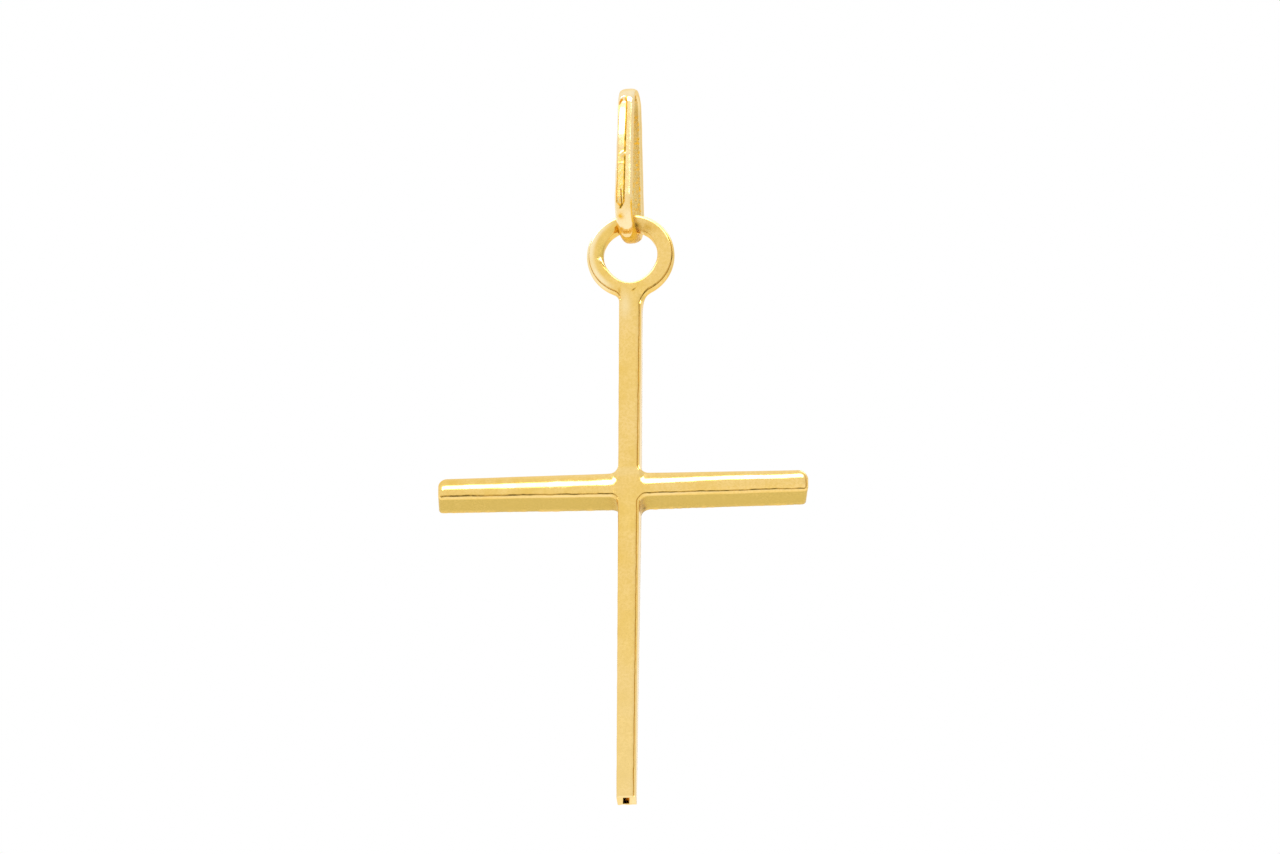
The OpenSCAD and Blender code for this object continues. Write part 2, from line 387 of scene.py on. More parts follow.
def facing(x0, z0):
    """How much each place of the outline faces down, right, up or left, or is at the ring.

    The ledge is full on the lower and right sides, and the upper and left sides are soft.
    """
    along = np.roll(OUTLINES[0], -1, axis=0) - np.roll(OUTLINES[0], 1, axis=0)
    along /= np.linalg.norm(along, axis=1)[:, None]
    across, rise = along[:, 0], along[:, 1]
    ring = smooth(z0, -2.35, -1.8)
    at_foot = z0 < FOOT_Z + 0.035
    down, right = np.where(at_foot, 0, np.clip(across, 0, 1)), np.clip(rise, 0, 1)
    full = np.where(at_foot, x0 > POST_FOOT_W / 2 - LEDGE_W, np.maximum(down, right))
    return {
        "down": down, "right": right, "up": np.clip(-across, 0, 1), "left": np.clip(-rise, 0, 1),
        "ring": ring, "full": full, "soft": (1 - full) * (1 - ring), "foot": at_foot,
    }


def ledge_shape(x0, z0):
    """Width and depth of the ledge round the outline; across the foot it is a thin line."""
    side = facing(x0, z0)
    full = side["full"]
    width = SOFT_LEDGE_W + (LEDGE_W - SOFT_LEDGE_W) * full
    width = width * (1 + 0.1 * ripple(x0, z0, 1.1, 13) + 0.05 * ripple(x0, z0, 0.4, 16))
    width = width * (1 - side["ring"]) + RING_LEDGE_W * side["ring"]
    near = outline_at(np.full_like(x0, LEDGE_W + 0.02))
    step = SOFT_STEP + (FULL_STEP - SOFT_STEP) * full
    step = step + LEFT_STEP * side["down"] * smooth(-x0, 3.0, 6.0)
    depth = (front_y(near[:, 0], near[:, 1]) + step) * (1 - side["ring"]) + RING_LEDGE_Y * side["ring"]
    flat_half = POST_FOOT_W / 2 - np.where(x0 > 0, LEDGE_W, SOFT_LEDGE_W)
    reach = POST_FOOT_W / 2 * (1 - flat_half / np.maximum(np.abs(x0), flat_half))
    width = np.where(side["foot"], np.maximum(reach, FOOT_LEDGE_W), width)
    return width, depth


# How far the upper and left edges roll in, and how far the right walls draw in at the back
UP_ROLL, LEFT_ROLL, RIGHT_DRAFT = 0.04, 0.02, 0.022
# How far a soft edge has rounded off at each of the last rows
SOFT_DROPS = (0.035, 0.019, 0.009, 0.0025, 0.0)


def edge_rows(x0, z0):
    """Inset and depth of each row from the back to the crease beside the crown."""
    side = facing(x0, z0)
    ring = side["ring"]
    roll = UP_ROLL * side["up"] + LEFT_ROLL * side["left"]
    back = bar_back_y(z0)
    rag = 0.014 * ripple(x0, z0, 0.8, 11) + 0.016 * ripple(x0, z0, 0.3, 12)
    ledge, ledge_y = ledge_shape(x0, z0)
    rows = []

    def row(bar_d, bar_y, ring_d, ring_y):
        rolled = roll * np.clip((-0.1 - bar_y) / 0.2, 0, 1) ** 1.6
        drafted = RIGHT_DRAFT * side["right"] * np.clip(bar_y / 1.2, 0, 1)
        bar_d = bar_d + rolled + drafted
        rows.append((bar_d * (1 - ring) + ring_d * ring, bar_y * (1 - ring) + ring_y * ring))

    row(0.09, back, 0.1, 0.251)
    row(0.05 - rag / 2, back - 0.002, 0.05, 0.184)
    row(0.026 - rag / 2, back - 0.008, 0.03, 0.146)
    row(0.008, back - 0.024 + rag, 0.015, 0.104)
    row(0.0, back - 0.05 + rag, 0.004, 0.05)
    for f in (0.2, 0.4, 0.6, 0.8, 0.88, 0.94):
        dent = 0.003 + 0.003 * ripple(x0 + z0, f * 1.5 + 0 * z0, 0.9, 14)
        row(dent, (back - 0.05) * (1 - f) + (ledge_y + 0.09) * f, 0.002, 0.03 - 0.1 * f)
    slope = LEDGE_SLOPE * side["down"]
    row(0.0, ledge_y + slope + 0.02, 0.002, ledge_y + slope + 0.04)
    row(0.003, ledge_y + slope + 0.008, 0.006, ledge_y + slope + 0.018)
    row(0.009, ledge_y + slope * 0.9 + 0.002, 0.016, ledge_y + slope * 0.85 + 0.006)
    row(ledge - 0.012 * np.minimum(1, ledge / 0.05), ledge_y, ledge - 0.015, ledge_y)
    row(ledge, ledge_y + 0.01, ledge, ledge_y + 0.01)
    for k, drop in enumerate(SOFT_DROPS):
        d, y = rows[k - len(SOFT_DROPS)]
        p = outline_at(d)
        y_soft = front_y(p[:, 0], p[:, 1]) + drop
        rows[k - len(SOFT_DROPS)] = (d, y + (y_soft - y) * side["soft"])
    return rows


# How dark the painted shade in the crease beside the ledge is, on the lower and right sides and at the
# ring
CREASE_DOWN, CREASE_RIGHT, CREASE_RING = 0.9, 0.5, 0.3

# Insets past the ledge, with how much of the way up the upright rim each one is
RIM = [(0.004, 0.3), (0.008, 0.6), (0.013, 0.85), (0.02, 1.0)]
CROWN_STEPS = [0.03, 0.042, 0.058, 0.078, 0.105, 0.135, 0.165]
BACK_STEPS = [0.26, 0.2, 0.14]
EDGE_ROUND = 0.08
EDGE_ROUND_DROP = 0.012
# How much of the crease's painted shade each rim inset gets
CREASE_SHADE = {0.004: 1.0, 0.008: 1.0, 0.013: 0.85, 0.02: 0.3}
LAST_INSET = 0.255


def crown_drop(inset):
    """How much the crown's outermost strip rolls over towards the ledge."""
    return EDGE_ROUND_DROP * np.maximum(0, 1 - inset / EDGE_ROUND) ** 2


def cross_rows():
    """The rows as a list of (N, 3) arrays, and how much painted shade each of their points gets in the
    crease.
    """
    x0, z0 = OUTLINES[0][:, 0], OUTLINES[0][:, 1]
    middle = edge_rows(x0, z0)
    ledge_y = middle[-2][1]
    side = facing(x0, z0)
    soft = side["soft"]
    # Painted shade in the crease beside the ledge: strongest on the lower sides, weaker on the right
    # sides and at the ring, none at the foot or on the soft sides
    crease_shade = CREASE_DOWN * side["down"] * (1 - side["ring"])
    crease_shade = crease_shade + CREASE_RIGHT * side["right"] + CREASE_RING * side["ring"]
    crease_shade = crease_shade * (0.85 + 0.2 * ripple(x0, z0, 1.6, 15) + 0.15 * ripple(x0, z0, 0.4, 17))
    crease_shade = np.where(side["foot"], 0, np.clip(crease_shade, 0, 1) * (1 - soft))
    rows, shade_dirt_level = [], []

    def add(inset, y, shade_and_mark):
        p = outline_at(inset)
        rows.append(np.stack([p[:, 0], y if y is not None else back_y(p[:, 0], p[:, 1]), p[:, 1]], 1))
        shade_dirt_level.append(shade_and_mark * crease_shade)

    for d in BACK_STEPS:
        add(np.full_like(x0, d), None, 0)
    for k, (d, y) in enumerate(middle):
        add(d, y, 1.0 if k == len(middle) - 1 else 0.0)
    start = middle[-1][0]
    for d, f in RIM + [(d, 1.0) for d in CROWN_STEPS]:
        inset = start + d * (LAST_INSET - start) / CROWN_STEPS[-1]
        p = outline_at(inset)
        front = front_y(p[:, 0], p[:, 1])
        top = np.minimum(front + crown_drop(d), ledge_y)
        stepped = ledge_y + (top - ledge_y) * f
        add(inset, stepped + (front - stepped) * soft, CREASE_SHADE.get(d, 0))
    return rows, np.concatenate(shade_dirt_level)


# The inside of the eye ring: a round wire at the back and a squarer one at the front
HOLE_POINTS = 300
HOLE_STEPS = 14
HOLE_REACH = 0.26
HOLE_SQUARENESS = 9.0
# The hole is worn lower at the bottom, over this angle
HOLE_WEAR, HOLE_WEAR_ANGLE = 0.15, math.radians(36)


def hole_rows():
    """Rows round the inside of the eye ring, from the back to the front."""
    angle = np.linspace(0, 2 * math.pi, HOLE_POINTS, endpoint=False)
    c, s = np.cos(angle), np.sin(angle)
    rows = []
    wear = HOLE_WEAR * np.exp(-((angle - 1.5 * math.pi) / HOLE_WEAR_ANGLE) ** 2)

    def add(rho, depth, cut=False):
        """A row at one distance and depth; a cut row also has the facet's depth."""
        rho = rho + wear * np.clip((RING_IN + HOLE_REACH - rho) / HOLE_REACH, 0, 1)
        x, z = rho * c, rho * s
        y = depth(x, z) if callable(depth) else depth + 0 * x
        if cut:
            y = y + facet(x, z)[2]
        rows.append(np.stack([x, y, z], 1))

    rough = 0.003 * ripple(c, s, 0.5, 21)
    add(RING_IN + HOLE_REACH, back_y)
    add(RING_IN + 0.18, back_y)
    for band in (0.63, 0.78, 0.89, 0.96, 0.99):
        add(RING_R - WIRE_R * band + rough, WIRE_R * math.sqrt(1 - band * band))
    add(RING_IN + rough, 0.0)
    for k in range(HOLE_STEPS):
        t = math.pi / 2 * (k + 1) / (HOLE_STEPS + 1)
        rho = RING_R - WIRE_R * math.cos(t) ** (2 / HOLE_SQUARENESS)
        depth = -WIRE_R * math.sin(t) ** (2 / HOLE_SQUARENESS)
        add(rho + rough, depth, cut=depth < FACET_FRONT_Y)
    add(RING_IN + HOLE_REACH, front_y)
    return rows


# Points of the face keep this far inside the outline, and the lines along the bars further
FILL_INSET, LINE_INSET = 0.27, 0.26
# The lines along the bars start here from the arms' or the post's middle, and shorter ones
# join them across the crossing
LINES_FROM, JOIN_TO = 0.62, 0.6
ARM_JOIN_FROM, ARM_JOIN_HALF = 0.29, 0.2
POST_JOIN_FROM, POST_JOIN_HALF = 0.3, 0.17
LINES_TOP_Z = -1.7
# Points across a bar, across the post's join, and round and across the ring
ACROSS_BAR, ACROSS_JOIN, ROUND_RING, ACROSS_RING = 8, 7, 240, 6
RING_HALF, RING_GAP_SINE = 0.075, -0.96
# The close grid over the neck's marks: bottom, top, left, right and step
NECK_GRID_Z, NECK_GRID_X, NECK_GRID_STEP = (-1.68, -1.44), (-0.36, 0.37), 0.02
# Margin and step of the points on the front and on the back
FRONT_FILL, BACK_FILL = (0.03, 0.06), (0.05, 0.24)


def inner_points(margin, step, fill_neck):
    """Points on the face inside the rows, laid in lines along each bar and the ring."""
    reach = LINE_INSET + margin
    points = []
    for z in np.arange(FOOT_Z + reach, LINES_TOP_Z, step):
        half = post_half(z) - reach
        if abs(z - ARM_Z) > LINES_FROM or abs(z - ARM_Z) < arm_half(0) - reach:
            points += [(x, z) for x in np.linspace(-half, half, ACROSS_BAR)]
    for side in (-1, 1):
        for x in np.arange(LINES_FROM, ARM_SPAN / 2 + side * ARM_SHIFT - reach, step):
            half = arm_half(side * x) - reach
            points += [(side * x, ARM_Z + v) for v in np.linspace(-half, half, ACROSS_BAR)]
    for x in np.arange(ARM_JOIN_FROM, JOIN_TO, step):
        across = np.linspace(-ARM_JOIN_HALF, ARM_JOIN_HALF, ACROSS_BAR)
        points += [(s * x, ARM_Z + v) for s in (-1, 1) for v in across]
    for v in np.arange(POST_JOIN_FROM, JOIN_TO, step):
        across = np.linspace(-POST_JOIN_HALF, POST_JOIN_HALF, ACROSS_JOIN)
        points += [(x, ARM_Z + s * v) for s in (-1, 1) for x in across]
    for rho in RING_R + np.linspace(-RING_HALF, RING_HALF, ACROSS_RING):
        for t in np.linspace(0, 2 * math.pi, ROUND_RING, endpoint=False):
            if math.sin(t) > RING_GAP_SINE:
                points.append((rho * math.cos(t), rho * math.sin(t)))
    if fill_neck:
        grid_x = np.arange(*NECK_GRID_X, NECK_GRID_STEP)
        points += [(x, z) for z in np.arange(*NECK_GRID_Z, NECK_GRID_STEP) for x in grid_x]
    points = np.array(points)
    return points[is_inside(points, outline_at(np.full(OUTLINES.shape[1], FILL_INSET)))]


def is_inside(points, polygon):
    """Which points lie inside a closed polygon, by counting its crossings."""
    a, b = polygon, np.roll(polygon, -1, axis=0)
    z = points[:, 1:]
    spans = (a[:, 1] > z) != (b[:, 1] > z)
    rise = np.where(a[:, 1] == b[:, 1], 1, b[:, 1] - a[:, 1])
    x = a[:, 0] + (b[:, 0] - a[:, 0]) * (z - a[:, 1]) / rise
    return (spans & (points[:, :1] < x)).sum(axis=1) % 2 == 1


def closed_edges(start, count):
    """The edges of a closed row of count points, as pairs of numbers from start."""
    return [(start + i, start + (i + 1) % count) for i in range(count)]


def fill_face(outer, inner, points):
    """Triangles between the outer row, the hole's row and points, anticlockwise."""
    flat = np.concatenate([outer, inner, points])
    n, m = len(outer), len(inner)
    edges = closed_edges(0, n) + closed_edges(n, m)
    made = delaunay_2d_cdt([Vector(p) for p in flat], edges, [], 1, 1e-6, True)
    where = np.array([ids[0] for ids in made[3]])
    faces = where[np.array(made[2])]
    middle = flat[faces].mean(axis=1)
    keep = is_inside(middle, outer) & ~is_inside(middle, inner)
    return faces[keep].tolist()


def band_faces(rows, first, flip):
    """Quads between neighbouring closed rows, whose points start at index first."""
    n = len(rows[0])
    faces = []
    for j in range(len(rows) - 1):
        for i in range(n):
            k = (i + 1) % n
            a, b = first + j * n, first + (j + 1) * n
            quad = [a + i, a + k, b + k, b + i]
            faces.append(quad[::-1] if flip else quad)
    return faces


def add_object(name, data):
    obj = bpy.data.objects.new(name, data)
    bpy.context.scene.collection.objects.link(obj)
    return obj


def make_object(name, points, faces, attributes):
    mesh = bpy.data.meshes.new(name)
    mesh.from_pydata([tuple(p) for p in points * MM], [], faces)
    mesh.validate()
    for key, values in attributes.items():
        layer = mesh.attributes.new(key, "FLOAT", "POINT")
        layer.data.foreach_set("value", np.asarray(values, np.float32))
    mesh.polygons.foreach_set("use_smooth", [True] * len(mesh.polygons))
    return add_object(name, mesh)


SLOT_W, SLOT_LEN, SLOT_H, SLOT_SKEW = 0.28, 0.66, 0.5, 0.1
# The slot's inside gets painted shade, dark red brown, at this strength
SLOT_X, SLOT_SHADE = 0.02, 0.7
# The cutter starts this far below the foot
SLOT_PAST = 0.2


def cut_slot(obj):
    """Cuts the small slot up into the foot's end."""
    y0 = FRONT_Y + (FOOT_BACK_Y - FRONT_Y - SLOT_LEN) / 2
    x = np.array([-SLOT_W / 2, SLOT_W / 2]) + SLOT_X
    y = np.array([y0, y0 + SLOT_LEN])
    z = np.array([FOOT_Z - SLOT_PAST, FOOT_Z + SLOT_H])
    corners = np.array([(a - SLOT_SKEW * (b - y0), b, c) for c in z for b in y for a in x])
    quads = [(0, 2, 3, 1), (4, 5, 7, 6), (0, 1, 5, 4), (2, 6, 7, 3), (0, 4, 6, 2), (1, 3, 7, 5)]
    # The cutter carries painted shade into the slot's inside
    layers = {"stain_and_shade": np.full(8, SLOT_SHADE), "wall": np.zeros(8), "painted_highlight": np.zeros(8)}
    cutter = make_object("slot_cutter", to_row_frame(corners), quads, layers)
    cut = obj.modifiers.new("slot", "BOOLEAN")
    cut.operation, cut.solver, cut.object = "DIFFERENCE", "EXACT", cutter
    deps = bpy.context.evaluated_depsgraph_get()
    mesh = bpy.data.meshes.new_from_object(obj.evaluated_get(deps))
    obj.modifiers.clear()
    obj.data = mesh
    bpy.data.objects.remove(cutter)


HINGE = np.array(frame["joints"][0]["pos_m"]) / MM


def to_row_frame(points):
    """From the eye ring's own frame to the part's frame, with the hanging lean."""
    c, s = math.cos(HANG_LEAN), math.sin(HANG_LEAN)
    x, y, z = points[:, 0], points[:, 1], points[:, 2] - RING_R
    return np.stack([x + CROSS_SHIFT, y * c + z * s, z * c - y * s], 1) + HINGE


# Painted shade and stains on the cross: the middle, size and strength of each. The corner spots are
# painted shade in the crossing's lower corners; the front spots are painted shade at the ring's top right
# beside the bail and in the crease at the neck's left; the post's spot is a dark mark on its left edge
CORNER_SHADES = [
    ((0.56, ARM_Z - 0.68), (0.15, 0.24), 0.55),
    ((-0.75, ARM_Z - 0.62), (0.12, 0.12), 0.2),
]
FRONT_SHADES = [
    ((0.22, 1.35), (0.15, 0.2), 0.75),
    ((0.75, 1.2), (0.5, 0.25), 0.4),
    ((-0.46, -1.72), (0.05, 0.16), 0.5),
]
POST_STAIN = ((-0.5, ARM_Z - 2.0), (0.05, 0.2), 0.5)
# Painted shade in the inner corner under the right arm, by x and depth
UNDER_ARM_SHADE = ((0.6, 0.95), (0.06, 0.12), 0.6)
# The short slanting mark below the hole
NICK, NICK_SLANT = ((0.17, -1.66), (0.045, 0.07), 1.6), 1.1


def listed_spots(across, up, listed):
    """All the listed spots together, at places across and up."""
    return sum(strength * spot(across, up, middle, size) for middle, size, strength in listed)


def cross_stain_and_shade(p):
    """Painted shade and stains on the cross, from 0 to 1, for points in the eye ring's frame."""
    x, y, z = p.T
    under = smooth(y, LEDGE_Y + 0.02, LEDGE_Y + 0.2)
    front = smooth(-y, 0.1, 0.25)
    value = listed_spots(x, z, CORNER_SHADES) * under + listed_spots(x, z, FRONT_SHADES) * front
    value += listed_spots(x, z, [POST_STAIN])
    value += listed_spots(x, y, [UNDER_ARM_SHADE]) * (np.abs(z - ARM_Z) < 0.9)
    value += listed_spots(x - NICK_SLANT * (z - NICK[0][1]), z, [NICK]) * front
    return value + FACET_LINE * facet(x, z)[1] * front


def cross_walls(p):
    """1 where the rough walls under the arms and the ring's inner left get a darker olive colour, a
    painted shade, else 0.
    """
    x, y, z = p.T
    under_arm = smooth(np.abs(x), 0.42, 0.6) * window(ARM_Z - z, 0.3, 0.45, 0.9, 1.0)
    behind = window(y, LEDGE_Y + 0.015, LEDGE_Y + 0.06, 1.35, 1.4)
    wall = behind * under_arm
    inner_left = 1.2 * spot(x, z, (-1.25, 0.15), (0.17, 0.5)) * smooth(-y, 0.0, 0.2)
    return np.maximum(wall, inner_left)


def cross_painted_highlight(p):
    """How strongly each place of the cross gets a painted highlight, from 0 to about 1: on the ring's
    outer left, the post just below the neck, the arms' tops, the post's right wall, under the arms'
    fronts, the foot's end and the facet; the post is also lighter towards the foot.
    """
    x, y, z = p.T
    ring_left = smooth(np.hypot(x, z), 1.5, 1.7) * smooth(-x, 0.5, 1.3) * (z > -1.9)
    post = 0.6 * spot(x, z, (-0.2, -2.4), (0.25, 0.6)) + 0.3 * smooth(-z, 15, 24)
    arm_top = smooth(z, ARM_Z + 0.28, ARM_Z + 0.45)
    arm_top = 0.2 * arm_top * smooth(-z, -ARM_Z - 0.8, -ARM_Z - 0.7)
    right_wall = 0.8 * smooth(y, LEDGE_Y, LEDGE_Y + 0.05) * window(x, 0.2, 0.3, 0.5, 0.6)
    under_ledge = 0.6 * spot(y, z, (-0.24, ARM_Z - 0.5), (0.04, 0.1))
    foot_end = 0.5 * (z < FOOT_Z + 0.03)
    on_facet = 0.9 * facet(x, z)[0]
    return ring_left + post + arm_top + right_wall + under_ledge + foot_end + on_facet


# How far the arms' end walls lean, for each millimetre of depth
LEFT_TIP_LEAN, RIGHT_TIP_LEAN = 0.055, 0.125


def lean_tips(p):
    """The arms' end walls lean a little to the left towards the back."""
    x, y, z = p.T
    at_arm = 1 - smooth(np.abs(z - ARM_Z), 0.7, 1.0)
    share = smooth(np.abs(x - ARM_SHIFT), 6.5, 7.7) * at_arm
    moved = p.copy()
    lean = np.where(x > 0, RIGHT_TIP_LEAN, LEFT_TIP_LEAN)
    moved[:, 0] -= lean * share * np.maximum(0, y - LEDGE_Y)
    return moved


# Where the bail's bend runs through the eye, the hole's edge is drawn in to the round wire
BARE_HALF, BARE_FADE, BARE_Z = 0.42, 0.72, (0.1, 0.8)


def bare_wire(p):
    """Rounds the hole's edge beside the bail's bend, so the cross swings clear of it."""
    x, y, z = p.T
    rho = np.hypot(x, z)
    off = rho - RING_R
    size = np.maximum(np.hypot(off, y), WIRE_R)
    share = 1 - smooth(np.abs(x), BARE_HALF, BARE_HALF + BARE_FADE)
    share = share * smooth(z, *BARE_Z)
    drawn = 1 + (WIRE_R / size - 1) * share * (off < 0)
    grow = (RING_R + off * drawn) / np.maximum(rho, RING_IN / 2)
    near = (off < 0) & (share > 0)
    return np.stack([np.where(near, x * grow, x), y * drawn, np.where(near, z * grow, z)], 1)


# Edges sharper than this stay sharp in the shading
SHARP_ANGLE = math.radians(50)


def on_face(flat, depth):
    """Points (x, z) set on the face whose depth the function gives."""
    return np.stack([flat[:, 0], depth(flat[:, 0], flat[:, 1]), flat[:, 1]], 1)


def make_cross():
    rows, row_shade = cross_rows()
    holes = hole_rows()
    front = inner_points(*FRONT_FILL, fill_neck=True)
    back = inner_points(*BACK_FILL, fill_neck=False)
    n, m = len(rows[0]), len(holes[0])
    points = np.concatenate(rows + holes + [on_face(front, front_y), on_face(back, back_y)])
    hole_start = n * len(rows)
    front_start = hole_start + m * len(holes)
    back_start = front_start + len(front)
    faces = band_faces(rows, 0, False) + band_faces(holes, hole_start, True)

    def cap(row, hole_row, extra, extra_start, flip):
        ids = np.concatenate([
            n * row + np.arange(n), hole_start + m * hole_row + np.arange(m),
            extra_start + np.arange(len(extra)),
        ])
        flat = [points[ids[:n]][:, [0, 2]], points[ids[n:n + m]][:, [0, 2]], extra]
        made = [[int(ids[i]) for i in f] for f in fill_face(*flat)]
        return [f[::-1] for f in made] if flip else made

    faces += cap(len(rows) - 1, len(holes) - 1, front, front_start, False)
    faces += cap(0, 0, back, back_start, True)
    shade_dirt_level = np.zeros(len(points))
    shade_dirt_level[:len(row_shade)] = row_shade
    # Layers: stains with painted shade, painted olive shade on walls, and painted highlights
    layers = {
        "stain_and_shade": np.clip(np.maximum(shade_dirt_level, cross_stain_and_shade(points)), 0, 1),
        "wall": np.clip(cross_walls(points), 0, 1),
        "painted_highlight": np.clip(cross_painted_highlight(points), 0, 1),
    }
    obj = make_object("gold_cross", to_row_frame(lean_tips(bare_wire(points))), faces, layers)
    cut_slot(obj)
    obj.data.set_sharp_from_angle(angle=SHARP_ANGLE)
    return obj


# The bail's strip, walked round the loop from the front of the lower bend

STRAND_ANGLE = math.asin((BEND_LOW_R - BEND_TOP_R) / (BEND_TOP_Z - BEND_LOW_Z))
STRAND_LEN = math.sqrt((BEND_TOP_Z - BEND_LOW_Z) ** 2 - (BEND_LOW_R - BEND_TOP_R) ** 2)
# Number of sections along each stretch of the loop
LOW_COUNT, BACK_COUNT, TOP_COUNT, FRONT_COUNT = 240, 110, 80, 220
# Heights along the back strand count down from here, past all heights of the lower bend
BACK_CLIMB = -9.0


def bail_stations():
    """Outer points, outward directions, and the height along the front strand."""
    s = STRAND_ANGLE
    points, normals, climb = [], [], []

    def bend(radius, z, start, end, count):
        for t in np.linspace(start, end, count, endpoint=False):
            n = np.array([math.cos(t), math.sin(t)])
            points.append(n * radius + [0, z])
            normals.append(n)

    def strand(side, count, upward):
        n = np.array([side * math.cos(s), math.sin(s)])
        low, high = n * BEND_LOW_R + [0, BEND_LOW_Z], n * BEND_TOP_R + [0, BEND_TOP_Z]
        a, b = (low, high) if upward else (high, low)
        for f in np.arange(count) / count:
            points.append(a + (b - a) * f)
            normals.append(n)

    bend(BEND_LOW_R, BEND_LOW_Z, math.pi - s, 2 * math.pi + s, LOW_COUNT)
    climb += [-BEND_LOW_R * (math.pi + 2 * s) * k / LOW_COUNT for k in range(LOW_COUNT)]
    strand(1, BACK_COUNT, True)
    climb += [BACK_CLIMB - STRAND_LEN * k / BACK_COUNT for k in range(BACK_COUNT)]
    bend(BEND_TOP_R, BEND_TOP_Z, s, math.pi - s, TOP_COUNT)
    top_run = BEND_TOP_R * (math.pi - 2 * s)
    climb += [STRAND_LEN + top_run * (1 - k / TOP_COUNT) for k in range(TOP_COUNT)]
    strand(-1, FRONT_COUNT, False)
    climb += [STRAND_LEN * (1 - k / FRONT_COUNT) for k in range(FRONT_COUNT)]
    return np.array(points), np.array(normals), np.array(climb)


# The channel down the bail's front, with its pointed lower end and a scored line in it
CHANNEL_POINT, CHANNEL_END = -0.66, 4.75
CHANNEL_X, CHANNEL_HALF, CHANNEL_WALL = -0.1, 0.2, 0.11
LINE_LOW, LINE_HIGH = -0.62, 0.33


def channel(x, climb):
    """How much of the channel is open at x across the strip, its depth, and its stains and painted shade.
    """
    open_up = np.clip((climb - CHANNEL_POINT) / 0.3, 0, 1)
    middle = CHANNEL_X + 0.04 * (1 - open_up)
    left, right = middle - CHANNEL_HALF * open_up, middle + CHANNEL_HALF * open_up
    end = CHANNEL_END - 0.3 * ((x - CHANNEL_X) / CHANNEL_HALF) ** 2
    inside = window(x, left, left + 0.02, right - CHANNEL_WALL, right)
    inside = inside * (1 - smooth(climb, end - 0.12, end)) * smooth(open_up, 0, 0.35)
    lump = 0.95 * spot(x, climb, (0.02, 1.97), (0.13, 0.1))
    depth = 0.08 + 0.08 * (1 - smooth(climb, -0.3, 2.6)) + 0.08 * smooth(climb, 2.7, 4.5)
    line_x = CHANNEL_X - 0.03 + 0.06 * (LINE_HIGH - climb) / (LINE_HIGH - LINE_LOW)
    in_line = window(climb, LINE_LOW, LINE_LOW + 0.1, LINE_HIGH - 0.03, LINE_HIGH)
    line = in_line * np.clip(1.4 - np.abs(x - line_x) / 0.018, 0, 1)
    low = 1 - smooth(climb, 2.6, 4.0)
    # Painted shade in the channel: dark in the corner at its right wall, along its left edge low down and
    # in its pointed end; the scored line and the specks are dark marks
    corner = np.clip(1.5 - np.abs(x - right + CHANNEL_WALL * 0.7) / 0.045, 0, 1) * (0.6 + 0.35 * low)
    edge_left = np.clip(1 - np.abs(x - left) / 0.02, 0, 1) * (1 - smooth(climb, 0.2, 0.9)) * 0.7
    point = (1 - smooth(open_up, 0.5, 1.0)) * np.clip(inside * 3, 0, 1) * 0.9
    scratch = 0.6 * spot(x, climb, (-0.2, 1.55), (0.12, 0.025))
    specks = np.clip(0.35 * ripple(x, climb + 0 * x, 0.13, 35), 0, 0.3) * inside * (climb < 2.2)
    shade_and_mark = np.maximum.reduce([corner, edge_left, point, line, specks]) * (1 - lump)
    at_channel = (climb > CHANNEL_POINT) & (climb < CHANNEL_END)
    return inside * (1 - lump) * at_channel, depth + 0.05 * line - 0.04 * scratch, shade_and_mark * at_channel


# Brown marks on the front of the lower bend: the middle, size and strength of each
BEND_MARKS = [((-0.12, -0.98), (0.13, 0.14), 0.45), ((-0.17, -1.6), (0.08, 0.08), 0.5)]


def at_front(climb):
    """1 over the top, down the front and just past the loop's lowest place, and 0 up the back."""
    return (1 - smooth(-climb, 2.9, 3.6)) * (climb > BACK_CLIMB + 1)


def tongue(x, half, climb):
    """How far a place is past the edge of the tongue, on the bail's underside."""
    below = np.radians(74) - np.radians(26) * np.abs(x / half) ** 2.5
    edge_climb = -BEND_LOW_R * (below + STRAND_ANGLE)
    return smooth(edge_climb - climb, 0, 0.05) * at_front(climb)


def strip_places(half):
    """Places across the strip, closer together at the channel's walls and line."""
    dense = [c + np.linspace(-w, w, 9) for c, w in ((-0.29, 0.03), (0.055, 0.06), (-0.1, 0.045))]
    return np.sort(np.concatenate([np.linspace(-half, half, 37)] + dense))


# Points up each side of the strip's section and across its inner face
SIDE_COUNT, INNER_COUNT = 5, 9


